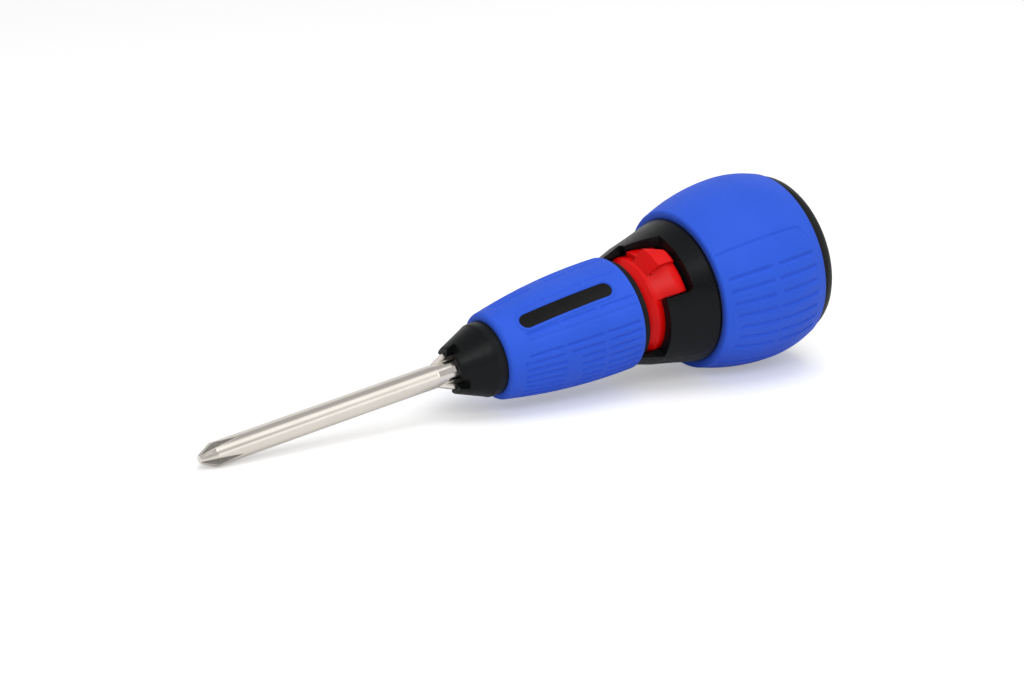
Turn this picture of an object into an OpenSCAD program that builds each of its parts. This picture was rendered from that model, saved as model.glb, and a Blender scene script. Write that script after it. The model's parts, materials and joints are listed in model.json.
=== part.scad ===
// Ratcheting screwdriver with a round palm knob, lying on the knob and on its blade.
// Every piece is drawn along the tool axis: z starts at the rim of the nose and runs
// to the butt, angle 0 is the top of the tool and angle 90 its near side.
// lay_down() then lays the finished tool on the surface.

/* [Blade] */
// Shaft diameter of the blade
blade_d = 6; // [5.6:0.1:6.4]
// Length of blade that stands out of the nose
blade_reach = 70; // [55:1:110]
// Length of blade inside the handle
blade_stow = 73; // [71:1:85]
// Radius of the four pressed wings
wing_r = 4.6; // [3.7:0.1:4.7]
// Width of one wing
wing_w = 1.4; // [1:0.1:1.8]
// Length of the wings in front of the nose rim
wing_out = 5; // [3.5:0.5:8]
// Length of the wings inside the nose
wing_in = 7.5; // [5:0.1:8.5]
// Angle of the first wing
wing_turn = 65; // [0:5:90]
// Radius of the flat end of the cross tip
tip_flat_r = 1.15; // [0.9:0.05:1.4]
// Half angle of the cone of the cross tip
tip_cone = 26.5; // [24:0.5:29]
// Length of the four flutes of the cross tip
flute_len = 11; // [8:0.5:14]
// Thickness of the slotted tip at the other end of the blade
slot_tip = 1; // [0.8:0.1:1.4]
// Length of its flats
slot_len = 12; // [10:0.5:14]
// Radius left between the wings, where the shaft is pressed in
press_r = 2.8; // [2.5:0.05:2.9]

/* [Nose] */
// Length of the nose in front of the grip
nose_len = 11.3; // [10:0.1:14]
// Radius of the nose behind its taper
nose_r = 9.5; // [9.2:0.1:10]
// Radius of the rim of the nose
nose_rim_r = 6.1; // [5.7:0.1:6.6]
// Length of the taper of the nose
nose_taper = 7.6; // [6:0.1:8.6]
// Depth of the notches in the rim
notch_depth = 2; // [1:0.1:3]
// Width of one notch in the rim
notch_w = 3.6; // [2.4:0.1:4]
// Radius of the spigot of the nose inside the front core
spigot_r = 6.9; // [6.6:0.1:7.2]
// Length of that spigot
spigot_len = 5.2; // [4.6:0.1:6]
// Wire radius of the rubber ring that holds the blade
ring_wire_r = 0.9; // [0.7:0.05:1]

/* [Front grip] */
// Length of the front grip
front_len = 38.1; // [35:0.1:44]
// Radius of the front grip at its widest
front_crown_r = 14.8; // [14.4:0.1:15.4]
// Distance of the widest place from the rear edge
front_crown_back = 3.4; // [2:0.1:6]
// Radius of the front grip where it meets the nose, before its edge is rounded
front_edge_r = 11.05; // [10.8:0.05:11.6]
// Thickness of the soft layer of the front grip
front_wall = 2.2; // [1.8:0.1:2.6]
// Rounding of its front edge
front_round = 1.5; // [0.8:0.1:1.7]
// Rounding of its rear edge
rear_round = 0.5; // [0.3:0.1:0.8]
// Length of the plate let into the front grip
plate_len = 26.4; // [20:0.1:30]
// Width of that plate
plate_w = 4; // [3:0.1:5]
// Thickness of that plate
plate_t = 0.8; // [0.6:0.1:1]
// Depth of the plate below the grip
plate_sink = 0.15; // [0.05:0.05:0.3]
// Distance of the front end of the plate from the nose
plate_front = 5.9; // [4:0.1:8]
// Angle at which the plate stands
plate_turn = 40.5; // [0:0.5:90]

/* [Spindle and gear] */
// Wall of the spindle in front of the gear
spindle_wall = 1.3; // [1.1:0.1:1.5]
// Wall of the spindle in the rear bush
journal_wall = 0.8; // [0.7:0.05:0.9]
// Radius over the corners of the hexagon that the front core holds
hex_r = 6.4; // [6:0.1:6.8]
// Length of that hexagon
hex_len = 16; // [10:1:20]
// Number of teeth on the ratchet gear
teeth = 24; // [24:12:36]
// Wall of the gear below its teeth
gear_wall = 1.1; // [0.9:0.1:1.3]
// Height of a tooth
tooth_h = 1.1; // [0.9:0.05:1.2]
// Width of the gear
gear_w = 4; // [3.4:0.1:4.6]

/* [Pawls and selector] */
// Distance of the pawl pins outside the teeth
pivot_out = 3.3; // [3.1:0.1:3.5]
// Radius of a pawl pin
pawl_pin_r = 0.9; // [0.7:0.05:1]
// Radius of the boss of a pawl
pawl_boss_r = 1.9; // [1.7:0.1:2]
// Angle from the pin of a pawl to its teeth
pawl_nose_at = 40; // [38:1:44]
// Swing of a pawl from full mesh to clear of the teeth
pawl_swing = 12; // [11:0.5:13]
// Distance of the cam peg of a pawl from its pin
peg_out = 3.6; // [3.4:0.1:3.8]
// Radius of that peg
peg_r = 0.7; // [0.6:0.05:0.8]
// Angle of the pin of the forward pawl
forward_at = 0; // [-10:1:10]
// Angle of the pin of the reverse pawl
reverse_at = 135; // [125:1:145]
// Turn of the selector from one end to the other
selector_turn = 16; // [14:1:18]
// Angle of the lower edge of the thumb tab
tab_low = 69; // [66:1:72]
// Angular width of the thumb tab at its front
tab_span = 56; // [52:1:60]
// Angle by which the upper edge of the tab leans towards its rear
tab_slant = 14; // [8:1:16]
// Length of the thumb tab behind the cam plate
tab_len = 5.4; // [4:0.1:6]
// Thickness of the thumb tab
tab_t = 1.9; // [1.5:0.1:2.2]
// Height of the rib along the thumb tab
rib_h = 0.9; // [0.5:0.1:1.1]
// Angular width of that rib at its front
rib_span = 26; // [24:1:30]
// Thickness of the shutter that closes the pocket above the tab
shutter_t = 0.5; // [0.4:0.05:0.6]
// Thickness of the cam plate of the selector
cam_t = 1.7; // [1.5:0.1:2]
// Length of the red ring that shows
ring_len = 2.8; // [2.4:0.1:3.2]
// Angle of the detent ball
detent_at = 240; // [232:1:248]
// Radius of the detent ball
ball_r = 0.95; // [0.8:0.05:1]

/* [Ratchet housing] */
// Wall of the hub round the front bush
hub_wall = 1.3; // [1.1:0.1:1.5]
// Wall of both bushes
bush_wall = 1.1; // [0.9:0.1:1.2]
// Thickness of the disc of the hub
disc_t = 1.5; // [1.2:0.1:1.8]
// Side wall of the pawl carrier
carrier_wall = 1.2; // [1:0.1:1.4]
// Depth of the pawl carrier behind the pawls
carrier_back = 5.2; // [4.8:0.1:5.6]
// Thickness of the flange of the pawl carrier
flange_t = 2; // [1.6:0.1:2.4]
// Skin of the collar at its front edge
collar_skin = 0.55; // [0.5:0.05:0.8]
// Wall of the collar at the edge of the window
collar_brow = 2.5; // [2.3:0.1:2.8]
// Height of the collar's rear edge over the flange of the pawl carrier
collar_lip = 2.4; // [2.1:0.1:2.8]
// Upper angle of the window in the collar
window_low = -14; // [-18:1:-12]
// Lower angle of the window in the collar
window_high = 135; // [120:1:150]
// Radius of a housing screw
screw_r = 1.1; // [1:0.05:1.2]
// Head radius of a housing screw
screw_head_r = 2; // [1.8:0.1:2.1]
// Head height of a housing screw
screw_head_h = 1.6; // [1.2:0.1:2]
// Angle of the first housing screw
screw_at = 90; // [88:1:94]

/* [Palm knob] */
// Length of the soft knob
knob_len = 31; // [29:0.5:36]
// Step from the collar up to the front edge of the knob, before it is rounded
knob_step = 1.65; // [1.3:0.05:2]
// Height by which the knob swells from its front edge to its widest place
knob_swell = 3.7; // [3.2:0.05:6]
// Distance of the widest place from the rear edge of the knob
knob_crown_back = 11.2; // [10:0.1:13]
// Height by which the knob falls from its widest place to its rear edge
knob_fall = 2.25; // [2:0.05:2.6]
// Thickness of the soft layer of the knob
knob_wall = 2.8; // [2.4:0.1:3]
// Wall of the hard core inside the knob
core_wall = 2.1; // [1.8:0.1:2.2]
// Rounding of both edges of the knob
knob_round = 0.9; // [0.5:0.1:1.2]
// Step from the rear edge of the knob down to the end cap
cap_step = 0.7; // [0.4:0.1:1.2]
// Height of the end cap
cap_h = 9.1; // [8:0.1:11]
// Height of the domed middle of the end cap
dome_h = 4.3; // [3:0.1:5]
// Width of the shoulder of the end cap round its dome
cap_shoulder = 4.2; // [3:0.1:5.4]
// Wall of the end cap
cap_wall = 2; // [1.6:0.1:2.4]
// Length of the spigot of the end cap
cap_spigot = 5; // [3:0.5:8]

/* [Clearances] */
// Radial gap between the blade and the bores that it slides in
slide_gap = 0.2; // [0.15:0.01:0.25]
// Radial gap of a close sliding or turning fit
run_gap = 0.05; // [0.03:0.01:0.08]
// Gap between faces that turn past each other
face_gap = 0.2; // [0.15:0.01:0.25]
// Gap round the thumb tab and between pieces that swing past each other
swing_gap = 0.35; // [0.3:0.01:0.4]
// Gap between gear teeth and pawl teeth
mesh_gap = 0.09; // [0.06:0.01:0.12]
// Radial gap between pieces that are pressed or moulded together
seat_gap = 0.02; // [0.01:0.01:0.04]

/* [Hidden] */

$fn = 48;
// Facets of the pieces turned about the tool axis
turned_fn = 96;
// Overshoot of a cut past the face that it opens
cut = 1;
// Straight steps in a curved outline
arc_steps = 14;

// Radii, from the blade outward
blade_r = blade_d / 2;
press_fade = 2.5;
bore_r = blade_r + slide_gap;
spindle_r = bore_r + spindle_wall;
journal_r = bore_r + journal_wall;
flat_half = journal_r + run_gap;
gear_root_r = spindle_r + gear_wall;
gear_tip_r = gear_root_r + tooth_h;
pitch_r = (gear_root_r + gear_tip_r) / 2;
pivot_r = gear_tip_r + pivot_out;
cavity_r = pivot_r + pawl_boss_r + face_gap;
carrier_r = cavity_r + carrier_wall;
collar_bore_r = carrier_r + run_gap;
bush_r = spindle_r + run_gap + bush_wall;
rear_bush_r = journal_r + run_gap + bush_wall;
hub_r = bush_r + seat_gap + hub_wall;
selector_bore_r = hub_r + run_gap;
cam_r = carrier_r - 0.4;
crest_r = carrier_r - 0.3;
tab_in_r = carrier_r + swing_gap;
tab_r = tab_in_r + tab_t;
screw_circle_r = collar_bore_r + screw_r + 0.35;
core_front = 4.2;
flange_r = screw_circle_r + screw_r + 0.9;
collar_rear_r = flange_r + collar_lip;
knob_front_r = collar_rear_r + knob_step;
knob_crown_r = knob_front_r + knob_swell;
knob_rear_r = knob_crown_r - knob_fall;
cap_r = knob_rear_r - cap_step;
dome_edge_r = cap_r - cap_shoulder;
hole_gap = 0.15;

// Places along the axis, from the nose to the butt
grip_z = nose_len;
grip_end = grip_z + front_len;
core_end = grip_end + 0.2;
washer_t = 0.4;
disc_z = core_end + washer_t + face_gap / 2;
hub_z = disc_z + disc_t;
selector_z = hub_z + face_gap;
ring_z = selector_z + 1.5;
cam_z = ring_z + ring_len;
pawl_z = cam_z + cam_t + face_gap;
pawl_w = gear_w - 0.1;
floor_z = pawl_z + gear_w + face_gap / 2;
flange_z = floor_z + carrier_back - flange_t;
carrier_end = flange_z + flange_t;
rear_washer_z = carrier_end + face_gap / 2;
rear_washer_t = 0.5;
clip_z = rear_washer_z + rear_washer_t;
clip_t = 0.8;
spindle_end = clip_z + clip_t + 0.8;
collar_end = carrier_end + 2.4;
knob_z = collar_end + 0.4;
knob_end = knob_z + knob_len;
butt_z = knob_end + cap_h;
brow_z = cam_z + face_gap;
spindle_z = nose_len + spigot_len + 0.3;
hex_z = spindle_z + 1.2;
ring_pocket = 2 * ring_wire_r + 0.2;
ring_mid_z = nose_len + spigot_len - ring_pocket / 2;
ring_pocket_r = blade_r + run_gap + 2 * ring_wire_r + run_gap;
shoulder_z = -blade_reach + (blade_r - tip_flat_r) / tan(tip_cone);

// Thumb tab, shutter, and the pocket that leaves room for their whole travel
tab_z_end = cam_z + cam_t + tab_len;
tab_ramp_z = tab_z_end - 2.7;
tab_top = tab_low - tab_span;
tab_margin = swing_gap / tab_in_r * 180 / PI;
pocket_end = tab_z_end + 1.5 * swing_gap;
pocket_high = tab_low + tab_margin;
pocket_low = tab_top - selector_turn - tab_margin;
shutter_in_r = tab_in_r + 0.1;
shutter_r = shutter_in_r + shutter_t;
shutter_top = pocket_low;
shutter_end = tab_z_end - 0.4;

// Curves of the grips
front_crown_z = grip_end - front_crown_back;
front_curve = crown_radius(front_crown_z - grip_z, front_crown_r - front_edge_r);
knob_crown_z = knob_end - knob_crown_back;
knob_front_curve = crown_radius(knob_crown_z - knob_z, knob_crown_r - knob_front_r);
knob_rear_curve = crown_radius(knob_crown_back, knob_crown_r - knob_rear_r);
dome_curve = crown_radius(dome_edge_r, dome_h);

// Pawl and cam geometry
pawl_ratio = pawl_swing / selector_turn;
tooth_pitch = 360 / teeth;
nose_mid = pitch_r * [cos(pawl_nose_at), -sin(pawl_nose_at)];
pivot = [pivot_r, 0];
nose_way = (nose_mid - pivot) / norm(nose_mid - pivot);
nose_out = [-nose_way[1], nose_way[0]];
pawl_relief = 0.8;
detent_circle_r = pivot_r + 0.3;
ball_z = cam_z + cam_t - 0.45 + ball_r;
boss_z = pawl_z + 0.2;
detent_bore_end = floor_z + 1.6;
pin_seat_end = floor_z + 2.8;

// Rest on the surface: the knob's front curve and the shoulder of the blade touch it
knob_centre_r = knob_crown_r - knob_front_curve;
run_a = knob_crown_z - shoulder_z;
run_b = blade_r - knob_centre_r;
tilt = asin(knob_front_curve / norm([run_a, run_b])) - atan2(run_b, run_a);
lift = blade_r * cos(tilt) - shoulder_z * sin(tilt);
x_low = -blade_reach * cos(tilt) - tip_flat_r * sin(tilt);
x_high = (butt_z - dome_curve) * cos(tilt) + dome_curve;
x_mid = (x_low + x_high) / 2;

// Radius of the circle that falls by drop over a run from its crown
function crown_radius(run, drop) = (run * run + drop * drop) / (2 * drop);
// Radius of a barrel at z, for a crown at crown_z and a curve of the given radius
function barrel_r(z, crown_z, crown_r, curve) =
    crown_r - curve + sqrt(curve * curve - (z - crown_z) * (z - crown_z));
function steps(from, to, n) = [for (i = [0:n]) from + (to - from) * i / n];
function front_r(z) = barrel_r(z, front_crown_z, front_crown_r, front_curve);
function knob_r(z) = barrel_r(z, knob_crown_z, knob_crown_r,
    z < knob_crown_z ? knob_front_curve : knob_rear_curve);
function spin(p, a) = [p[0] * cos(a) - p[1] * sin(a), p[0] * sin(a) + p[1] * cos(a)];
// Outline points of the collar: straight brow, then a slightly hollow flare
function collar_r(z) = z < brow_z
    ? collar_bore_r + collar_skin + (collar_brow - collar_skin) * (z - disc_z) / (brow_z - disc_z)
    : let (t = (z - brow_z) / (collar_end - brow_z))
        collar_bore_r + collar_brow + (collar_rear_r - collar_bore_r - collar_brow) * t
        - 0.5 * t * (1 - t);

module lay_down() {
    translate([-x_mid, 0, lift])
        rotate([0, -tilt, 0])
            rotate([180, 0, 0])
                rotate([0, 90, 0])
                    children();
}

module turned(points) {
    rotate_extrude($fn = turned_fn)
        polygon(points);
}

module rod(r, from, to) {
    translate([0, 0, from])
        cylinder(r = r, h = to - from);
}

// Sector of a turned outline between two angles
module turned_sector(points, from, to) {
    rotate([0, 0, from])
        rotate_extrude(angle = to - from, $fn = turned_fn)
            polygon(points);
}

// A rectangle in the radius and z directions
function box_points(r1, r2, z1, z2) = [[r1, z1], [r2, z1], [r2, z2], [r1, z2]];

// Outline of a soft barrel over a hard core, with rounded outer edges
function barrel_points(z1, z2, wall, round1, round2) = concat(
    [for (z = steps(z2, z1, arc_steps)) [barrel_at(z, z1) - wall, z]],
    [for (a = steps(0, 90, 5)) [barrel_at(z1 + round1, z1) - round1 * (1 - sin(a)), z1 + round1 * (1 - cos(a))]],
    [for (z = steps(z1 + round1, z2 - round2, arc_steps)) if (z > z1 + round1 && z < z2 - round2)
        [barrel_at(z, z1), z]],
    [for (a = steps(0, 90, 5)) [barrel_at(z2 - round2, z1) - round2 * (1 - cos(a)), z2 - round2 * (1 - sin(a))]]
);
function barrel_at(z, z1) = z1 == grip_z ? front_r(z) : knob_r(z);

// Band between two depths below the front grip's surface
function front_band(z1, z2, deep, shallow) = concat(
    [for (z = steps(z1, z2, 10)) [front_r(z) - shallow, z]],
    [for (z = steps(z2, z1, 10)) [front_r(z) - deep, z]]
);

// Round-ended bar that stands out of the grip along the plate's place
module plate_prism(grow) {
    half = plate_w / 2 + grow;
    z1 = grip_z + plate_front + plate_w / 2;
    z2 = grip_z + plate_front + plate_len - plate_w / 2;
    rotate([0, 0, plate_turn])
        rotate([0, 90, 0])
            linear_extrude(height = front_crown_r + 2)
                union() {
                    translate([-z2, -half])
                        square([z2 - z1, 2 * half]);
                    translate([-z1, 0])
                        circle(r = half);
                    translate([-z2, 0])
                        circle(r = half);
                }
}

// Gear outline about the axis, grown by a gap on every side
module gear_outline(grow) {
    root = gear_root_r + grow;
    tip = gear_tip_r + grow;
    root_half = 0.4 * tooth_pitch + grow / root * 180 / PI;
    tip_half = 0.14 * tooth_pitch + grow / tip * 180 / PI;
    polygon([for (i = [0:teeth - 1], k = [0:3])
        let (a = i * tooth_pitch + (k < 2 ? -1 : 1) * (k == 0 || k == 3 ? root_half : tip_half),
            r = k == 0 || k == 3 ? root : tip)
        [r * cos(a), r * sin(a)]]);
}

// Outline of a pawl in mesh, with its pin on the x axis and its teeth at negative y
module pawl_outline() {
    tail = pivot + [0, peg_out];
    translate(pivot)
        circle(r = pawl_boss_r);
    translate(tail)
        circle(r = peg_r + 0.5);
    translate([pivot_r - peg_r - 0.5, 0])
        square([2 * peg_r + 1, peg_out]);
    polygon([
        nose_mid + 1.9 * nose_way - 0.7 * nose_out,
        nose_mid + 1.9 * nose_way + 1.4 * nose_out,
        nose_mid + 1.1 * nose_way + 2 * nose_out,
        pivot + pawl_boss_r * nose_out,
        pivot - 0.6 * pawl_boss_r * nose_out,
        nose_mid - 2 * nose_way - 0.2 * nose_out,
        nose_mid - 1.7 * nose_way - 0.7 * nose_out
    ]);
}

// One pawl at its pin's angle: side 1 has its teeth at the lower angle, side -1 is its mirror
module pawl(at, side, lifted) {
    pin = pivot_r * [cos(at), sin(at)];
    translate([pin[0], pin[1], 0])
        rotate([0, 0, side * lifted])
            translate([-pin[0], -pin[1], 0])
                difference() {
                    union() {
                        translate([0, 0, pawl_z])
                            linear_extrude(height = pawl_w)
                                difference() {
                                    rotate([0, 0, at])
                                        mirror([0, side < 0 ? 1 : 0])
                                            pawl_outline();
                                    gear_outline(mesh_gap);
                                }
                        rotate([0, 0, at])
                            translate([pivot_r, side * peg_out, 0])
                                rod(peg_r, pawl_z - cam_t, pawl_z + pawl_w / 2);
                    }
                    rotate([0, 0, at])
                        translate([pivot_r, 0, 0])
                            rod(pawl_pin_r + run_gap, pawl_z - cut, pawl_z + pawl_w + cut);
                }
}

// Place of a cam peg, seen from the selector, when the selector has turned by t
function peg_place(at, side, t) =
    let (phi = side > 0 ? pawl_ratio * t : pawl_swing - pawl_ratio * t)
    spin([pivot_r - peg_out * sin(phi), side * peg_out * cos(phi)], at + t);

// Cam slot: its outer edge guides the peg, its inner edge leaves room for the pawl to click
module cam_slot(at, side) {
    reach = peg_r + 0.1;
    over = 4;
    places = [for (t = steps(-over, selector_turn + over, 18)) peg_place(at, side, t)];
    translate([0, 0, cam_z + 0.1])
        linear_extrude(height = cam_t + cut)
            polygon(concat(
                [for (p = places) p * (norm(p) + reach) / norm(p)],
                [for (i = [len(places) - 1:-1:0])
                    places[i] * (norm(places[i]) - reach - pawl_relief) / norm(places[i])]
            ));
}

// Coil spring along z from z = 0, closed at both ends, as one swept tube
module coil(length, coil_r, wire_r, turns) {
    sides = 6;
    rings = 12 * turns;
    usable = length - 2 * wire_r;
    slope = atan(usable / turns / (2 * PI * coil_r));
    points = [for (i = [0:rings], k = [0:sides - 1])
        let (a = 360 * turns * i / rings, b = 360 * k / sides,
            out = coil_r + wire_r * cos(b))
        [out * cos(a) + wire_r * sin(b) * sin(slope) * sin(a),
            out * sin(a) - wire_r * sin(b) * sin(slope) * cos(a),
            wire_r + usable * i / rings + wire_r * sin(b) * cos(slope)]];
    ends = concat(
        [for (k = [1:sides - 2]) [0, k + 1, k]],
        [for (k = [1:sides - 2]) [rings * sides, rings * sides + k, rings * sides + k + 1]]
    );
    walls = [for (i = [0:rings - 1], k = [0:sides - 1], half = [0, 1])
        let (n = (k + 1) % sides, here = i * sides, next = (i + 1) * sides)
        half == 0 ? [here + k, here + n, next + n] : [here + k, next + n, next + k]];
    polyhedron(points = points, faces = concat(ends, walls), convexity = 8);
}

// Length of a pawl spring at rest, from the back of the pawl to its seat in the carrier
spring_foot = nose_mid + 2 * nose_out;
spring_seat = 0.5;
spring_coil_r = 0.95;
spring_wire_r = 0.2;
function spring_reach(p) = let (along = p * nose_out)
    sqrt(along * along - p * p + (cavity_r + spring_seat) * (cavity_r + spring_seat)) - along;
// The lifted pawl has turned its back towards the seat
lift_travel = (spring_foot - pivot) * nose_way * sin(pawl_swing);

module pawl_spring(at, side, lifted) {
    start = lifted ? lift_travel : 0;
    rotate([0, 0, at])
        mirror([0, side < 0 ? 1 : 0, 0])
            translate([spring_foot[0], spring_foot[1], pawl_z + pawl_w / 2])
                rotate([0, 0, atan2(nose_out[1], nose_out[0])])
                    rotate([0, 90, 0])
                        translate([0, 0, start + 0.1])
                            coil(spring_reach(spring_foot) - start - 0.45, spring_coil_r, spring_wire_r, 4);
}

module spring_seat_cut(at, side) {
    rotate([0, 0, at])
        mirror([0, side < 0 ? 1 : 0, 0])
            translate([spring_foot[0], spring_foot[1], pawl_z + pawl_w / 2])
                rotate([0, 0, atan2(nose_out[1], nose_out[0])])
                    rotate([0, 90, 0])
                        rod(spring_coil_r + spring_wire_r + 0.2, 2, spring_reach(spring_foot) - 0.2);
}

// One V flute of the cross tip: its root climbs from the flat end to the shaft's surface
module flute() {
    root_r = 0.95;
    open_half = 46;
    climb = atan((blade_r + 0.1 - root_r) / flute_len);
    translate([root_r, 0, -blade_reach])
        rotate([0, climb, 0])
            translate([0, 0, -cut])
                linear_extrude(height = flute_len + 3 * cut)
                    polygon([[0, 0], [blade_d, -blade_d * tan(open_half)], [blade_d, blade_d * tan(open_half)]]);
}

module blade() {
    color([0.80, 0.78, 0.74])
        difference() {
            union() {
                turned([
                    [0, -blade_reach], [tip_flat_r, -blade_reach], [blade_r, shoulder_z],
                    [blade_r, -wing_out], [press_r, -wing_out + press_fade],
                    [press_r, wing_in - 1 - press_fade], [blade_r, wing_in - 1],
                    [blade_r, blade_stow - 0.4], [blade_r - 0.4, blade_stow], [0, blade_stow]
                ]);
                for (k = [0:3])
                    rotate([0, 0, wing_turn + 90 * k])
                        wing();
            }
            for (k = [0:3])
                rotate([0, 0, wing_turn + 45 + 90 * k])
                    flute();
            for (side = [0, 1])
                rotate([0, 0, wing_turn + 180 * side])
                    slot_tip_cut();
        }
}

// One pressed wing, sloped at its front end
module wing() {
    rotate([90, 0, 0])
        linear_extrude(height = wing_w, center = true)
            polygon([
                [0, 0.4 - wing_out], [press_r, 0.4 - wing_out], [wing_r, -0.5],
                [wing_r, wing_in - 0.4], [wing_r - 0.4, wing_in], [0, wing_in]
            ]);
}

// One of the two flats that make the slotted tip at the stowed end
module slot_tip_cut() {
    rotate([90, 0, 0])
        linear_extrude(height = 2 * blade_d, center = true)
            polygon([
                [slot_tip / 2, blade_stow + cut], [slot_tip / 2, blade_stow - 1],
                [blade_r + 0.1, blade_stow - slot_len], [blade_d, blade_stow - slot_len],
                [blade_d, blade_stow + cut]
            ]);
}

module nose_cone() {
    color([0.13, 0.135, 0.145])
        difference() {
            turned([
                [blade_r + run_gap, 0], [nose_rim_r - 0.4, 0], [nose_rim_r, 0.35],
                [nose_r - 0.45, nose_taper], [nose_r - 0.1, nose_taper + 0.7], [nose_r, nose_taper + 1.5],
                [nose_r, nose_len], [spigot_r, nose_len], [spigot_r, nose_len + spigot_len],
                [ring_pocket_r, nose_len + spigot_len],
                [ring_pocket_r, nose_len + spigot_len - ring_pocket],
                [blade_r + run_gap, nose_len + spigot_len - ring_pocket]
            ]);
            for (k = [0:3])
                rotate([0, 0, wing_turn + 90 * k]) {
                    wing_way();
                    rim_notch();
                }
        }
}

// Slot for one wing
module wing_way() {
    translate([0, -wing_w / 2 - face_gap, -cut])
        cube([wing_r + face_gap, wing_w + 2 * face_gap, wing_in + face_gap + cut]);
}

// Notch in the rim, midway between two wings
module rim_notch() {
    rotate([0, 0, 45])
        translate([0, -notch_w / 2, -cut])
            cube([nose_r, notch_w, notch_depth + cut]);
}

module blade_ring() {
    color([0.08, 0.08, 0.08])
        translate([0, 0, ring_mid_z])
            rotate_extrude($fn = turned_fn)
                translate([blade_r + run_gap + ring_wire_r, 0])
                    circle(r = ring_wire_r);
}

module front_core() {
    color([0.12, 0.12, 0.13])
        difference() {
            turned(concat(
                [[0, core_end], [0, grip_z]],
                [for (z = steps(grip_z, grip_end, arc_steps)) [front_r(z) - front_wall - seat_gap, z]],
                [[front_r(grip_end) - front_wall - 0.6, core_end]]
            ));
            rod(spigot_r + seat_gap, grip_z - cut, grip_z + spigot_len + 0.3);
            rod(spindle_r + seat_gap, grip_z, core_end + cut);
            translate([0, 0, grip_z])
                cylinder(r = hex_r + 2 * seat_gap, h = hex_z + hex_len - grip_z, $fn = 6);
        }
}

module front_grip() {
    color([0.17, 0.34, 0.88])
        difference() {
            turned(barrel_points(grip_z, grip_end, front_wall, front_round, rear_round));
            intersection() {
                turned(front_band(grip_z + 1, grip_end - 1, plate_sink + plate_t + seat_gap, -2));
                plate_prism(0.05);
            }
        }
}

module label_plate() {
    color([0.10, 0.10, 0.11])
        intersection() {
            turned(front_band(grip_z + 1, grip_end - 1, plate_sink + plate_t, plate_sink));
            plate_prism(0);
        }
}

module spindle() {
    color([0.62, 0.63, 0.65])
        difference() {
            union() {
                rod(spindle_r, spindle_z, floor_z - face_gap / 2);
                rod(journal_r, spindle_z, spindle_end);
                translate([0, 0, hex_z])
                    cylinder(r = hex_r, h = hex_len, $fn = 6);
            }
            rod(bore_r, spindle_z - cut, spindle_end + cut);
            for (side = [-1, 1])
                translate([side * (flat_half + 2) - 2, -2 * spindle_r, pawl_z - face_gap])
                    cube([4, 4 * spindle_r, gear_w + 4 * face_gap]);
            difference() {
                rod(journal_r + cut, clip_z, clip_z + clip_t);
                rod(clip_in_r, clip_z - cut, clip_z + clip_t + cut);
            }
        }
}
clip_in_r = journal_r - 0.35;

module front_washer() {
    color([0.70, 0.71, 0.73])
        turned(box_points(spindle_r + run_gap, hub_r, core_end, core_end + washer_t));
}

module ratchet_gear() {
    color([0.58, 0.59, 0.60])
        translate([0, 0, pawl_z - face_gap / 2])
            linear_extrude(height = gear_w)
                difference() {
                    gear_outline(0);
                    intersection() {
                        circle(r = spindle_r + seat_gap);
                        square([2 * (flat_half + seat_gap), 4 * spindle_r], center = true);
                    }
                }
}

module rear_washer() {
    color([0.70, 0.71, 0.73])
        turned(box_points(journal_r + run_gap, rear_bush_r + 0.8, rear_washer_z, rear_washer_z + rear_washer_t));
}

// Open spring ring in the groove at the end of the spindle
module circlip() {
    color([0.35, 0.35, 0.37])
        difference() {
            turned(box_points(clip_in_r + seat_gap, journal_r + 1.5, clip_z + 0.05, clip_z + clip_t - 0.05));
            translate([0, -1.5, clip_z - cut])
                cube([3 * journal_r, 3, clip_t + 2 * cut]);
        }
}

module front_hub() {
    color([0.11, 0.11, 0.12])
        turned([
            [bush_r + seat_gap, disc_z], [carrier_r - 0.2, disc_z], [carrier_r, disc_z + 0.2],
            [carrier_r, hub_z], [hub_r, hub_z], [hub_r, pawl_z - 2 * face_gap],
            [bush_r + seat_gap, pawl_z - 2 * face_gap]
        ]);
}

module front_bush() {
    color([0.72, 0.53, 0.26])
        turned(box_points(spindle_r + run_gap, bush_r, disc_z, pawl_z - 2 * face_gap));
}

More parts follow.
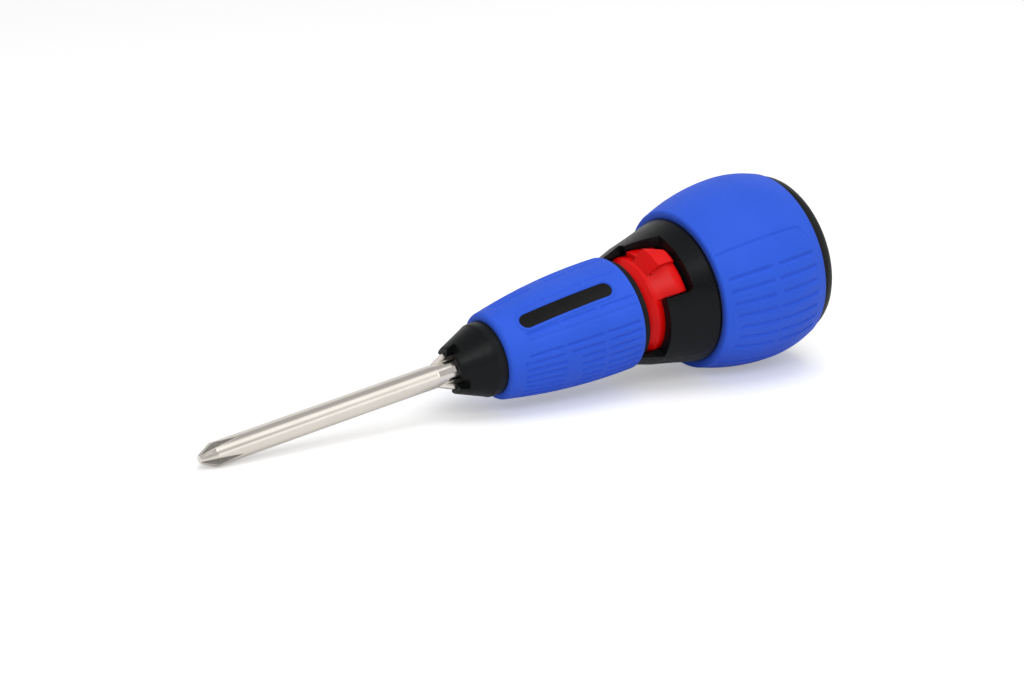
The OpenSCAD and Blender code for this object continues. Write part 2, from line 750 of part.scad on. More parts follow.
module selector_ring() {
    cam_end = cam_z + cam_t;
    crest_z = ring_z + 1.7;
    color([0.88, 0.05, 0.04])
        difference() {
            union() {
                turned([
                    [selector_bore_r, selector_z], [crest_r - 2.4, selector_z], [crest_r - 1.1, ring_z],
                    [crest_r - 0.15, ring_z + 1.2], [crest_r, ring_z + 1.5], [crest_r, cam_z - 0.5],
                    [cam_r, cam_z], [cam_r, cam_end], [selector_bore_r, cam_end]
                ]);
                difference() {
                    union() {
                        // The tab: a ramp that climbs from the crest of the ring
                        turned_sector([
                            [crest_r - 1, crest_z], [crest_r - 0.1, crest_z], [tab_r, tab_ramp_z],
                            [tab_r - 0.2, tab_z_end - 0.5], [tab_r - 0.7, tab_z_end], [tab_in_r, tab_z_end],
                            [tab_in_r, cam_end], [crest_r - 1, cam_end]
                        ], tab_top, tab_low);
                        // The rib along its upper side
                        turned_sector([
                            [crest_r - 1, crest_z + 0.1], [crest_r - 0.1, crest_z + 0.1], [tab_r + rib_h, cam_end + 0.2],
                            [tab_r + rib_h, tab_z_end - 0.9], [tab_r + rib_h - 0.5, tab_z_end - 0.2],
                            [tab_in_r + 0.2, tab_z_end - 0.2], [tab_in_r + 0.2, cam_end - 0.2],
                            [crest_r - 1, cam_end - 0.2]
                        ], tab_top, tab_top + rib_span);
                    }
                    slant_cut(tab_top);
                }
                // The shutter, which joins the cam plate by its front edge
                turned_sector([
                    [cam_r - 1, cam_z + 0.2], [shutter_r, cam_z + 0.2], [shutter_r, shutter_end],
                    [shutter_in_r, shutter_end], [shutter_in_r, cam_end], [cam_r - 1, cam_end]
                ], shutter_top, tab_low - tab_span / 2);
            }
            // Relief behind the front face
            turned(box_points(hub_r + 1.4, crest_r - 3.2, selector_z - cut, cam_z - 1.2));
            cam_slot(forward_at, 1);
            cam_slot(reverse_at, -1);
            detent_track();
        }
}

// Everything above the leaning edge that starts at an angle, behind the cam plate
module slant_cut(at) {
    front_z = cam_z + 1.2;
    lean = atan(2 * tab_r * sin(tab_slant / 2) / (tab_z_end - front_z));
    span = collar_rear_r;
    rotate([0, 0, at + tab_slant / 2])
        translate([0, 0, (front_z + tab_z_end) / 2])
            rotate([-lean, 0, 0])
                translate([0, -span, -span])
                    cube([span, span, 2 * span]);
}

// Track of the detent ball, with a drilled seat at each of the three positions
module detent_track() {
    ball_room = 6;
    translate([0, 0, ball_z])
        rotate([0, 0, detent_at - ball_room])
            rotate_extrude(angle = selector_turn + 2 * ball_room, $fn = turned_fn)
                translate([detent_circle_r, 0])
                    circle(r = ball_r + 0.1);
    for (t = [0, selector_turn / 2, selector_turn])
        rotate([0, 0, detent_at + t])
            translate([detent_circle_r, 0, 0])
                rod(0.45, cam_z + cam_t - 0.9, cam_z + cam_t + cut);
}

module forward_pawl() {
    color([0.50, 0.51, 0.53])
        pawl(forward_at, 1, 0);
}

module reverse_pawl() {
    color([0.50, 0.51, 0.53])
        pawl(reverse_at, -1, pawl_swing);
}

module pawl_pins() {
    color([0.75, 0.76, 0.78])
        for (at = [forward_at, reverse_at])
            rotate([0, 0, at])
                translate([pivot_r, 0, 0])
                    rod(pawl_pin_r, pawl_z + 0.1, pin_seat_end - 0.1);
}

module forward_pawl_spring() {
    color([0.78, 0.79, 0.80])
        pawl_spring(forward_at, 1, false);
}

module reverse_pawl_spring() {
    color([0.78, 0.79, 0.80])
        pawl_spring(reverse_at, -1, true);
}

module pawl_carrier() {
    color([0.55, 0.56, 0.57])
        difference() {
            union() {
                difference() {
                    union() {
                        rod(carrier_r, pawl_z, carrier_end);
                        rod(flange_r, flange_z, carrier_end);
                    }
                    rod(cavity_r, pawl_z - cut, floor_z);
                }
                rotate([0, 0, detent_at])
                    translate([detent_circle_r, 0, 0])
                        rod(2, boss_z, floor_z + 0.5);
            }
            rod(rear_bush_r + seat_gap, floor_z - cut, carrier_end + cut);
            for (at = [forward_at, reverse_at])
                rotate([0, 0, at])
                    translate([pivot_r, 0, 0])
                        rod(pawl_pin_r + seat_gap, floor_z - cut, pin_seat_end);
            rotate([0, 0, detent_at])
                translate([detent_circle_r, 0, 0])
                    rod(ball_r + run_gap, boss_z - cut, detent_bore_end);
            spring_seat_cut(forward_at, 1);
            spring_seat_cut(reverse_at, -1);
            housing_holes(screw_r + hole_gap, flange_z - cut, carrier_end + cut);
        }
}

// Round holes on the circle of the housing screws
module housing_holes(r, from, to) {
    for (k = [0:2])
        rotate([0, 0, screw_at + 120 * k])
            translate([screw_circle_r, 0, 0])
                rod(r, from, to);
}

module detent_ball() {
    color([0.80, 0.81, 0.83])
        rotate([0, 0, detent_at])
            translate([detent_circle_r, 0, ball_z])
                sphere(r = ball_r);
}

module detent_spring() {
    color([0.78, 0.79, 0.80])
        rotate([0, 0, detent_at])
            translate([detent_circle_r, 0, ball_z + ball_r + 0.05])
                coil(detent_bore_end - ball_z - ball_r - 0.1, ball_r - 0.25, 0.17, 5);
}

module rear_bush() {
    color([0.72, 0.53, 0.26])
        turned(box_points(journal_r + run_gap, rear_bush_r, floor_z, carrier_end));
}

module ratchet_collar() {
    color([0.13, 0.135, 0.14])
        difference() {
            turned(concat(
                [[collar_bore_r, flange_z], [collar_bore_r, disc_z]],
                [for (z = steps(disc_z, brow_z, 4)) [collar_r(z), z]],
                [for (z = steps(brow_z, collar_end - 0.5, 10)) if (z > brow_z) [collar_r(z), z]],
                [[collar_r(collar_end) - 0.15, collar_end], [flange_r + run_gap, collar_end],
                    [flange_r + run_gap, flange_z]]
            ));
            turned_sector(box_points(collar_bore_r - cut, collar_rear_r, disc_z - cut, brow_z), window_low, window_high);
            pocket();
            // Recess that the shutter slides into
            turned_sector(box_points(collar_bore_r - cut, shutter_r + swing_gap, cam_z, tab_z_end + swing_gap),
                shutter_top - selector_turn - tab_margin, tab_top);
            housing_holes(screw_r + seat_gap, pawl_z + 1, flange_z + cut);
        }
}

// Pocket of the thumb tab, with rounded rear corners
module pocket() {
    corner = 1.2;
    difference() {
        union() {
            turned_sector(box_points(collar_bore_r - cut, collar_rear_r + cut, brow_z - cut, pocket_end - corner),
                pocket_low, pocket_high);
            for (i = [0:4]) {
                inset = corner * (1 - cos(90 * i / 5));
                angle = inset / tab_r * 180 / PI;
                z = pocket_end - corner + corner * sin(90 * i / 5);
                turned_sector(box_points(collar_bore_r - cut, collar_rear_r + cut, z - cut, z + corner * 0.2),
                    pocket_low + angle, pocket_high - angle);
            }
        }
        slant_cut(pocket_low);
    }
}

module housing_screws() {
    head_z = collar_end + core_front;
    color([0.45, 0.46, 0.48])
        for (k = [0:2])
            rotate([0, 0, screw_at + 120 * k])
                translate([screw_circle_r, 0, 0])
                    difference() {
                        union() {
                            rod(screw_r, pawl_z + 1.5, head_z + 0.5);
                            rod(screw_head_r, head_z, head_z + screw_head_h);
                        }
                        for (turn = [0, 90])
                            rotate([0, 0, turn])
                                translate([-1.2, -0.25, head_z + screw_head_h - 0.9])
                                    cube([2.4, 0.5, 2]);
                    }
}

module rear_core() {
    wall_z = collar_end + core_front;
    inner_z = wall_z + 0.5;
    tube_end = blade_stow + 2;
    color([0.12, 0.12, 0.13])
        difference() {
            union() {
                turned(concat(
                    [[0, wall_z], [0, carrier_end], [flange_r, carrier_end], [flange_r, collar_end],
                        [knob_front_r - knob_wall + 0.3, collar_end], [knob_front_r - knob_wall + 0.3, knob_z]],
                    [for (z = steps(knob_z, knob_end, arc_steps)) [knob_r(z) - knob_wall - seat_gap, z]],
                    [for (z = steps(knob_end, inner_z, arc_steps)) [knob_r(z) - knob_wall - core_wall, z]],
                    [[knob_r(wall_z) - knob_wall - core_wall, wall_z]]
                ));
                rod(bore_r + 1.8, wall_z - 1, tube_end + 1.5);
            }
            rod(rear_bush_r + 1.8, carrier_end - cut, collar_end + 1.2);
            rod(bore_r + face_gap, carrier_end, tube_end);
            housing_holes(screw_r + hole_gap, carrier_end - cut, wall_z + cut);
        }
}

module knob_grip() {
    color([0.17, 0.34, 0.88])
        turned(barrel_points(knob_z, knob_end, knob_wall, knob_round, knob_round));
}

module end_cap() {
    plug_r = knob_r(knob_end) - knob_wall - core_wall - run_gap;
    shoulder_h = cap_h - dome_h;
    color([0.12, 0.125, 0.135])
        turned(concat(
            [[0, butt_z]],
            [for (r = steps(0, dome_edge_r, 8)) if (r > 0) [r, dome_z(r, 0)]],
            [for (a = steps(15, 90, 6)) [dome_edge_r + (cap_r - dome_edge_r) * sin(a) ^ 1.2,
                knob_end + shoulder_h * cos(a) ^ 0.8]],
            [[plug_r, knob_end], [plug_r, knob_end - cap_spigot], [plug_r - cap_wall, knob_end - cap_spigot],
                [plug_r - cap_wall, dome_z(plug_r - cap_wall, cap_wall)]],
            [for (r = steps(plug_r - cap_wall, 0, 6)) if (r < plug_r - cap_wall - 0.1) [r, dome_z(r, cap_wall)]]
        ));
}
// Height of the dome of the end cap at a radius, less a depth below it
function dome_z(r, deep) = butt_z - dome_curve + sqrt(dome_curve * dome_curve - r * r) - deep;

lay_down() blade();
lay_down() nose_cone();
lay_down() blade_ring();
lay_down() front_core();
lay_down() front_grip();
lay_down() label_plate();
lay_down() spindle();
lay_down() front_washer();
lay_down() ratchet_gear();
lay_down() rear_washer();
lay_down() circlip();
lay_down() front_hub();
lay_down() front_bush();
lay_down() selector_ring();
lay_down() forward_pawl();
lay_down() reverse_pawl();
lay_down() pawl_pins();
lay_down() forward_pawl_spring();
lay_down() reverse_pawl_spring();
lay_down() pawl_carrier();
lay_down() detent_ball();
lay_down() detent_spring();
lay_down() rear_bush();
lay_down() ratchet_collar();
lay_down() housing_screws();
lay_down() rear_core();
lay_down() knob_grip();
lay_down() end_cap();
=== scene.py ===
import json
import math

import bpy
import numpy as np
from mathutils import Matrix, Vector


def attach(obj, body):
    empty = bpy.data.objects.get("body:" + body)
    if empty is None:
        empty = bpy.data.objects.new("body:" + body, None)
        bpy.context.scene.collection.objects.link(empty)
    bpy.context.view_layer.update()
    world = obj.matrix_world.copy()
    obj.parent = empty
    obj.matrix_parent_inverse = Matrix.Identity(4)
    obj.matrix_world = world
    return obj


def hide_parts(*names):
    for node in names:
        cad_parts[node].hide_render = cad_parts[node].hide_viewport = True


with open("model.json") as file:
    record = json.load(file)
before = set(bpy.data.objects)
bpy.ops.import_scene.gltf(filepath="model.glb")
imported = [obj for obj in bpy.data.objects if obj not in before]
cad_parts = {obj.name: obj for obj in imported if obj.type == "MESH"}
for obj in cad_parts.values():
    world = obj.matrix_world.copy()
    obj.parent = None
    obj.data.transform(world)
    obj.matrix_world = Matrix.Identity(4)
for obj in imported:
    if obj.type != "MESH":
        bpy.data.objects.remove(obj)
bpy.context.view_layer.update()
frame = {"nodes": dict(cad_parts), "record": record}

# The tool's own axes: s runs along the tool from the rim of the nose to the butt, r is the distance
# from its axis, psi 0 is the top of the tool and psi 90 its near side. Sizes below are in
# millimetres and degrees where their comment names no other unit.
MM = 0.001
turn_joint = next(j for j in frame["record"]["behaviour"]["joints"] if j["name"] == "ratchet_turn")
ORIGIN = Vector(turn_joint["pos_m"])
AXIS = Vector(turn_joint["axis"]).normalized()
TOP = Vector((-AXIS.z, 0.0, AXIS.x))
NEAR = Vector((0.0, -1.0, 0.0))
TILT = math.atan2(AXIS.z, AXIS.x)

# Front grip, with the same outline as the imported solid
GRIP_START, GRIP_END = 11.3, 49.4
GRIP_CROWN_S, GRIP_CROWN_R, GRIP_EDGE_R = 46.0, 14.8, 11.05
GRIP_WALL, GRIP_ROUND_FRONT, GRIP_ROUND_REAR = 2.2, 1.5, 0.5

# Palm knob, 0.005 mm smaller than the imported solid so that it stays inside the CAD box
KNOB_START, KNOB_END = 70.1, 101.1
KNOB_CROWN_S, KNOB_CROWN_R = 89.9, 24.545
KNOB_FRONT_R, KNOB_REAR_R = 20.845, 22.295
KNOB_WALL, KNOB_ROUND = 2.8, 0.9

# Plate let into the front grip: the depth of its seat, which falls off over a small slope, how far
# the grooves keep clear of it, and the bead round it
PLATE_PSI, PLATE_START, PLATE_LEN, PLATE_W = 40.5, 17.2, 26.4, 4.0
PLATE_FLOOR, PLATE_EDGE, PLATE_SLOPE = 1.0, 0.10, 0.35
PLATE_CLEAR, PLATE_CLEAR_SLOPE = 0.9, 0.4
BEAD_AT, BEAD_HALF, BEAD_H = 0.62, 0.50, 0.30

# Grooves of the grips: pitch of the rows, half width and depth of a groove
GRIP_PITCH, GRIP_GROOVE_HALF, GRIP_GROOVE_DEPTH = 8.6, 0.62, 0.42
KNOB_PITCH, KNOB_GROOVE_HALF, KNOB_GROOVE_DEPTH = 8.7, 0.78, 0.5

# Rows of the front grip: the first row's angle, the three lengths of a row (the second starts
# later from row to row), and the fainter rows beside the plate as (rows away from it, depth)
GRIP_FIRST_PSI, GRIP_ROWS = 82.4, 12
GRIP_TOP_START, GRIP_START_OF_ROWS = 16.8, 15.5
GRIP_FIRST_END, GRIP_SECOND_END, GRIP_THIRD = 25.6, 36.6, (38.6, 47.8)
GRIP_SECOND_START = [27.0, 27.8, 30.4, 30.6, 30.9, 31.1]
FAINT_ROWS = ((-1.87, 0.6), (1.87, 0.8), (-2.87, 0.25), (2.87, 0.35))
FAINT_LENGTHS = ((17.6, 25.6), (27.2, 36.6), (38.6, 47.8))

# Rows of the knob: the first row's angle, and each row's two lengths as (start, end)
KNOB_FIRST_PSI = 71.4
KNOB_FRONT_LENGTHS = ((72.6, 83.6), (72.5, 83.5), (72.8, 83.1), (73.6, 83.7), (74.4, 84.2),
                      (74.0, 84.0), (73.4, 83.6))
KNOB_REAR_LENGTHS = ((86.6, 97.0), (86.0, 97.2), (86.5, 97.0), (85.6, 97.0), (85.9, 96.8),
                     (86.0, 96.9), (86.4, 97.0))

# Fine line round the knob's grooved field: its two edges as (angle, way inward), how it spreads
# along the knob, where it turns in, and where it fades out
PANEL_EDGES, PANEL_SPREAD = ((52.5, 1), (142.5, -1)), 0.05
PANEL_TURN, PANEL_TURN_START, PANEL_TURN_RUN = 9.0, 94.5, 3.6
PANEL_DEPTH, PANEL_HALF, PANEL_END, PANEL_FADE = 0.32, 0.5, 98.3, 2.0

# Both grips have their fields twice, half a turn apart
SIDES = (0, 180)

# Mesh of the grips: degrees between columns, millimetres between rings, and rings of the inside
# and of each rounded end
COLUMN_STEP, RING_STEP = 0.5, 0.25
INNER_RINGS, ARC_RINGS = 24, 9

# Materials: the middle of a noise texture's values, which a finish spreads over its own range, and
# the sockets of a range node
NOISE_MIDDLE = (0.3, 0.7)
RANGE_SOCKETS = ("From Min", "From Max", "To Min", "To Max")

# Camera at the photo's viewpoint: its turn about the vertical and its downward look, the place of
# the tool's origin to the right of it, above it and ahead of it, its lens, and its range in metres
VIEW_TURN, VIEW_DOWN = math.radians(-33.40), math.radians(16.88)
VIEW_OFFSET = (-15.42, -7.23, 737.28)
FOCAL_PIXELS, IMAGE_WIDTH, SENSOR = 3000.0, 1024.0, 36.0
CLIP_NEAR, CLIP_FAR = 0.01, 100.0

# Floor: its grey, half its width in metres, the white of its own that the camera sees, and the
# share of that white in mirror images
FLOOR_WHITE, FLOOR_HALF = 0.80, 30.0
FLOOR_LIFT, FLOOR_MIRRORED = 0.34, 0.15

# Light from all round: its strength from low down and from overhead, and the heights between which
# it climbs, where 1 is straight up
WORLD_LOW, WORLD_HIGH, WORLD_CLIMB = 0.22, 0.66, (0.05, 0.8)

# What smooth surfaces mirror: a grey room with a white screen beside the camera, a pale wall behind
# the tool and a dark place between the camera and the screen. Each has its strength, the way to its
# middle, and the cosines of the angles from there between which it fades in
ROOM = 0.48
SCREEN_GAIN, SCREEN_WAY, SCREEN_EDGE = 0.76, (0.565, -0.708, 0.423), (0.68, 0.84)
BACK_GAIN, BACK_WAY, BACK_EDGE = 0.38, (0.517, 0.785, 0.34), (0.80, 0.96)
DARK_PLACE, DARK_WAY, DARK_EDGE = 0.12, (0.041, -0.898, 0.438), (0.908, 0.985)

# Soft lamps in metres and watts: name, place to the right of the picture, toward the camera and
# above the floor, the point it faces, width and height, power, whether smooth surfaces mirror it
LAMPS = (
    ("key_softbox", (0.10, 0.70, 0.66), (0.0, 0.0, 0.02), (0.5, 0.42), 2.2, True),
    ("overhead_softbox", (0.22, 0.0, 0.9), (0.0, 0.0, 0.0), (0.6, 0.5), 3.0, False),
    ("low_fill", (0.25, 1.0, 0.12), (0.02, 0.0, 0.02), (0.9, 0.2), 1.7, False),
)


def crown_radius(run, drop):
    return (run * run + drop * drop) / (2 * drop)


def barrel(s, crown_s, crown_r, front_curve, rear_curve):
    curve = np.where(s < crown_s, front_curve, rear_curve)
    return crown_r - curve + np.sqrt(curve * curve - (s - crown_s) ** 2)


def grip_radius(s):
    curve = crown_radius(GRIP_CROWN_S - GRIP_START, GRIP_CROWN_R - GRIP_EDGE_R)
    return barrel(s, GRIP_CROWN_S, GRIP_CROWN_R, curve, curve)


def knob_radius(s):
    return barrel(s, KNOB_CROWN_S, KNOB_CROWN_R,
                  crown_radius(KNOB_CROWN_S - KNOB_START, KNOB_CROWN_R - KNOB_FRONT_R),
                  crown_radius(KNOB_END - KNOB_CROWN_S, KNOB_CROWN_R - KNOB_REAR_R))


def rounded_profile(start, end, radius, wall, round_front, round_rear):
    """Closed outline of a grip: places along the axis, radii, and 1 where the outline is the outside."""
    arc = np.radians(np.linspace(0, 90, ARC_RINGS))
    inner_s = np.linspace(end, start, INNER_RINGS)
    front_s = start + round_front * (1 - np.cos(arc))
    front_r = radius(np.array(start + round_front)) - round_front * (1 - np.sin(arc))
    count = int((end - start - round_front - round_rear) / RING_STEP)
    outer_s = np.linspace(start + round_front, end - round_rear, count)[1:-1]
    rear_r = radius(np.array(end - round_rear)) - round_rear * (1 - np.cos(arc))
    rear_s = end - round_rear * (1 - np.sin(arc))
    s = np.concatenate([inner_s, front_s, outer_s, rear_s])
    r = np.concatenate([radius(inner_s) - wall, front_r, radius(outer_s), rear_r])
    ends = np.zeros(ARC_RINGS)
    outside = np.concatenate([np.zeros(INNER_RINGS), ends, np.ones(len(outer_s)), ends])
    return s, r, outside


def angle_from(psi, centre):
    """Angle from centre to psi, between -180 and 180."""
    return (psi - centre + 180.0) % 360.0 - 180.0


def groove_field(s, psi, r, grooves, half):
    """Depth cut by round-ended grooves, each (psi, start, end, depth)."""
    cut = np.zeros(np.broadcast(s, psi).shape)
    for centre, start, end, depth in grooves:
        across = r * np.radians(angle_from(psi, centre))
        beyond = np.maximum(np.maximum(start - s, s - end), 0.0)
        d = np.minimum(np.hypot(across, beyond) / half, 1.0)
        cut = np.maximum(cut, depth * (1 - d * d) ** 2)
    return cut


def smooth(t):
    t = np.clip(t, 0.0, 1.0)
    return t * t * (3 - 2 * t)


def turned_mesh(name, s, r, dent, columns):
    """Mesh turned about the tool's axis from a closed outline, with dents in its outside."""
    psi = np.arange(columns) * 360.0 / columns
    radii = r[:, None] - dent(s[:, None], psi[None, :], r[:, None])
    angle = np.radians(psi)[None, :]
    axis, top, near, origin = (np.array(v) for v in (AXIS, TOP, NEAR, ORIGIN))
    points = (origin + MM * (s[:, None, None] * axis + (radii * np.cos(angle))[..., None] * top
                             + (radii * np.sin(angle))[..., None] * near))
    rings = len(s)
    ring, column = np.meshgrid(np.arange(rings), np.arange(columns), indexing="ij")
    next_ring, next_column = (ring + 1) % rings, (column + 1) % columns
    corners = ((ring, column), (ring, next_column), (next_ring, next_column), (next_ring, column))
    quads = np.stack([a * columns + b for a, b in corners], axis=-1)
    mesh = bpy.data.meshes.new(name)
    mesh.from_pydata(points.reshape(-1, 3).tolist(), [], quads.reshape(-1, 4).tolist())
    mesh.polygons.foreach_set("use_smooth", [True] * len(mesh.polygons))
    mesh.update()
    obj = bpy.data.objects.new(name, mesh)
    bpy.context.scene.collection.objects.link(obj)
    return obj


def grip_grooves():
    """Grooves of the front grip, each (psi, start, end, depth)."""
    rows = []
    for side in SIDES:
        for row in range(GRIP_ROWS):
            psi = GRIP_FIRST_PSI + GRIP_PITCH * row + side
            first = GRIP_TOP_START if row == 0 else GRIP_START_OF_ROWS
            middle = GRIP_SECOND_START[min(row, len(GRIP_SECOND_START) - 1)]
            for start, end in ((first, GRIP_FIRST_END), (middle, GRIP_SECOND_END), GRIP_THIRD):
                rows.append((psi, start, end, GRIP_GROOVE_DEPTH))
        for row, depth in FAINT_ROWS:
            psi = PLATE_PSI + row * GRIP_PITCH + side
            for start, end in FAINT_LENGTHS:
                rows.append((psi, start, end, GRIP_GROOVE_DEPTH * depth))
    return rows


def plate_distance(s, psi, r):
    """Distance outward from the round-ended outline of the plate."""
    half = PLATE_W / 2
    across = r * np.radians(angle_from(psi, PLATE_PSI))
    first, last = PLATE_START + half, PLATE_START + PLATE_LEN - half
    beyond = np.maximum(np.maximum(first - s, s - last), 0.0)
    return np.hypot(across, beyond) - half


def knob_grooves():
    """Grooves of the knob, each (psi, start, end, depth)."""
    rows = []
    for side in SIDES:
        for row, lengths in enumerate(zip(KNOB_FRONT_LENGTHS, KNOB_REAR_LENGTHS)):
            psi = KNOB_FIRST_PSI + KNOB_PITCH * row + side
            for start, end in lengths:
                rows.append((psi, start, end, KNOB_GROOVE_DEPTH))
    return rows


GRIP_GROOVES = grip_grooves()
KNOB_GROOVES = knob_grooves()


def grip_dent(outside):
    def dent(s, psi, r):
        d = plate_distance(s, psi, r)
        clear = smooth((d - PLATE_CLEAR) / PLATE_CLEAR_SLOPE)
        cut = groove_field(s, psi, r, GRIP_GROOVES, GRIP_GROOVE_HALF) * clear
        bead = BEAD_H * (1 - np.minimum(np.abs(d - BEAD_AT) / BEAD_HALF, 1.0) ** 2) ** 2
        pit = PLATE_FLOOR * smooth((PLATE_EDGE - d) / PLATE_SLOPE)
        return outside[:, None] * (cut - bead + pit)
    return dent


def panel_line(s, psi, r):
    """Fine line that bounds a grooved panel of the knob: it runs back and turns in at its end."""
    total = 0.0
    fade = smooth((PANEL_END - s) / PANEL_FADE)
    turn_in = PANEL_TURN * smooth((s - PANEL_TURN_START) / PANEL_TURN_RUN) ** 2
    for side in SIDES:
        for edge, way in PANEL_EDGES:
            line = edge + side + way * (PANEL_SPREAD * (s - KNOB_START) + turn_in)
            across = r * np.radians(angle_from(psi, line))
            total = total + PANEL_DEPTH * fade * (1 - np.minimum((across / PANEL_HALF) ** 2, 1.0)) ** 2
    return total


def knob_dent(outside):
    def dent(s, psi, r):
        cut = groove_field(s, psi, r, KNOB_GROOVES, KNOB_GROOVE_HALF)
        return outside[:, None] * np.maximum(cut, panel_line(s, psi, r))
    return dent


columns = int(360 / COLUMN_STEP)
s, r, outside = rounded_profile(GRIP_START, GRIP_END, grip_radius, GRIP_WALL,
                                GRIP_ROUND_FRONT, GRIP_ROUND_REAR)
grip = turned_mesh("front_grip_grooved", s, r, grip_dent(outside), columns)
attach(grip, "front")
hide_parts("front_grip")

s, r, outside = rounded_profile(KNOB_START, KNOB_END, knob_radius, KNOB_WALL, KNOB_ROUND, KNOB_ROUND)
knob = turned_mesh("knob_grip_grooved", s, r, knob_dent(outside), columns)
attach(knob, "root")
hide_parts("knob_grip")


class Finish:
    """Material under construction, on coordinates in metres whose x runs along the tool."""

    def __init__(self, name, color, roughness, metallic=0.0, specular=0.5):
        self.material = bpy.data.materials.new(name)
        self.material.use_nodes = True
        self.tree = self.material.node_tree
        self.shader = next(n for n in self.tree.nodes if n.type == "BSDF_PRINCIPLED")
        self.set("Base Color", (*color, 1.0))
        self.set("Roughness", roughness)
        self.set("Metallic", metallic)
        self.set("Specular IOR Level", specular)
        coords = self.add("ShaderNodeTexCoord")
        mapping = self.add("ShaderNodeMapping")
        mapping.inputs["Rotation"].default_value = (0.0, TILT, 0.0)
        mapping.inputs["Location"].default_value = -(Matrix.Rotation(TILT, 3, "Y") @ ORIGIN)
        self.link(coords.outputs["Object"], mapping.inputs["Vector"])
        self.coords = mapping.outputs["Vector"]
        self.normal = None

    def add(self, kind, **values):
        node = self.tree.nodes.new(kind)
        for key, value in values.items():
            setattr(node, key, value)
        return node

    def link(self, a, b):
        self.tree.links.new(a, b)

    def set(self, socket, value):
        self.shader.inputs[socket].default_value = value

    def noise(self, scale, detail, stretch=(1, 1, 1)):
        """Noise with scale features a metre."""
        squeeze = self.add("ShaderNodeVectorMath", operation="MULTIPLY")
        squeeze.inputs[1].default_value = stretch
        self.link(self.coords, squeeze.inputs[0])
        node = self.add("ShaderNodeTexNoise")
        node.inputs["Scale"].default_value = scale
        node.inputs["Detail"].default_value = detail
        self.link(squeeze.outputs[0], node.inputs["Vector"])
        return node.outputs["Fac"]

    def ranged(self, source, low, high):
        """Spread the middle of a noise from low to high."""
        node = self.add("ShaderNodeMapRange")
        for name, value in zip(RANGE_SOCKETS, (*NOISE_MIDDLE, low, high)):
            node.inputs[name].default_value = value
        self.link(source, node.inputs["Value"])
        return node.outputs["Result"]

    def vary_color(self, source, dark, light):
        """Colour that wanders from dark to light, which are sockets 6 and 7 of a colour mix."""
        mix = self.add("ShaderNodeMix", data_type="RGBA")
        self.link(self.ranged(source, 0.0, 1.0), mix.inputs[0])
        mix.inputs[6].default_value = (*dark, 1.0)
        mix.inputs[7].default_value = (*light, 1.0)
        self.link(mix.outputs[2], self.shader.inputs["Base Color"])

    def vary_roughness(self, source, low, high):
        self.link(self.ranged(source, low, high), self.shader.inputs["Roughness"])

    def round_edges(self, radius):
        node = self.add("ShaderNodeBevel", samples=6)
        node.inputs["Radius"].default_value = radius * MM
        self.normal = node.outputs["Normal"]

    def bump(self, source, depth, strength):
        node = self.add("ShaderNodeBump")
        node.inputs["Strength"].default_value = strength
        node.inputs["Distance"].default_value = depth * MM
        self.link(source, node.inputs["Height"])
        if self.normal:
            self.link(self.normal, node.inputs["Normal"])
        self.normal = node.outputs["Normal"]

    def done(self):
        if self.normal:
            self.link(self.normal, self.shader.inputs["Normal"])
        return self.material


def soft_blue():
    finish = Finish("blue_elastomer", (0.025, 0.100, 0.67), roughness=0.62, specular=0.2)
    finish.set("Sheen Weight", 0.04)
    finish.set("Sheen Roughness", 0.5)
    finish.vary_color(finish.noise(60, detail=3), dark=(0.023, 0.094, 0.64), light=(0.027, 0.106, 0.70))
    finish.vary_roughness(finish.noise(900, detail=3), low=0.56, high=0.68)
    finish.bump(finish.noise(5200, detail=2), depth=0.012, strength=0.5)
    return finish.done()


def black_plastic(name, color, roughness, grain):
    finish = Finish(name, color, roughness, specular=0.14)
    finish.round_edges(0.22)
    lighter = tuple(part * 1.25 for part in color)
    finish.vary_color(finish.noise(180, detail=3), dark=color, light=lighter)
    finish.vary_roughness(finish.noise(700, detail=3), low=roughness - 0.06, high=roughness + 0.06)
    finish.bump(finish.noise(3600, detail=2), depth=grain, strength=0.6)
    return finish.done()


def red_plastic():
    finish = Finish("red_plastic", (0.70, 0.003, 0.003), roughness=0.36, specular=0.18)
    finish.round_edges(0.5)
    finish.vary_color(finish.noise(150, detail=2), dark=(0.66, 0.002, 0.002), light=(0.72, 0.003, 0.003))
    finish.vary_roughness(finish.noise(800, detail=2), low=0.28, high=0.36)
    finish.bump(finish.noise(3000, detail=2), depth=0.006, strength=0.5)
    return finish.done()


def plate_gloss():
    finish = Finish("plate_gloss", (0.008, 0.008, 0.008), roughness=0.26, specular=0.12)
    finish.round_edges(0.15)
    finish.vary_roughness(finish.noise(500, detail=2), low=0.18, high=0.28)
    finish.bump(finish.noise(260, detail=2), depth=0.01, strength=0.3)
    return finish.done()


def nickel():
    finish = Finish("nickel_plate", (0.80, 0.750, 0.685), roughness=0.18, metallic=1.0)
    finish.round_edges(0.12)
    finish.vary_color(finish.noise(90, detail=3), dark=(0.77, 0.720, 0.655), light=(0.83, 0.78, 0.715))
    # Turning marks run round the shaft, so they are close together along it
    turned = (6, 1, 1)
    finish.vary_roughness(finish.noise(400, detail=4, stretch=turned), low=0.16, high=0.22)
    finish.bump(finish.noise(700, detail=2, stretch=turned), depth=0.00008, strength=0.5)
    return finish.done()


def plain_steel(name, color, roughness):
    finish = Finish(name, color, roughness, metallic=1.0)
    finish.round_edges(0.1)
    finish.vary_roughness(finish.noise(1200, detail=3), low=roughness - 0.05, high=roughness + 0.08)
    finish.bump(finish.noise(2500, detail=2), depth=0.003, strength=0.3)
    return finish.done()


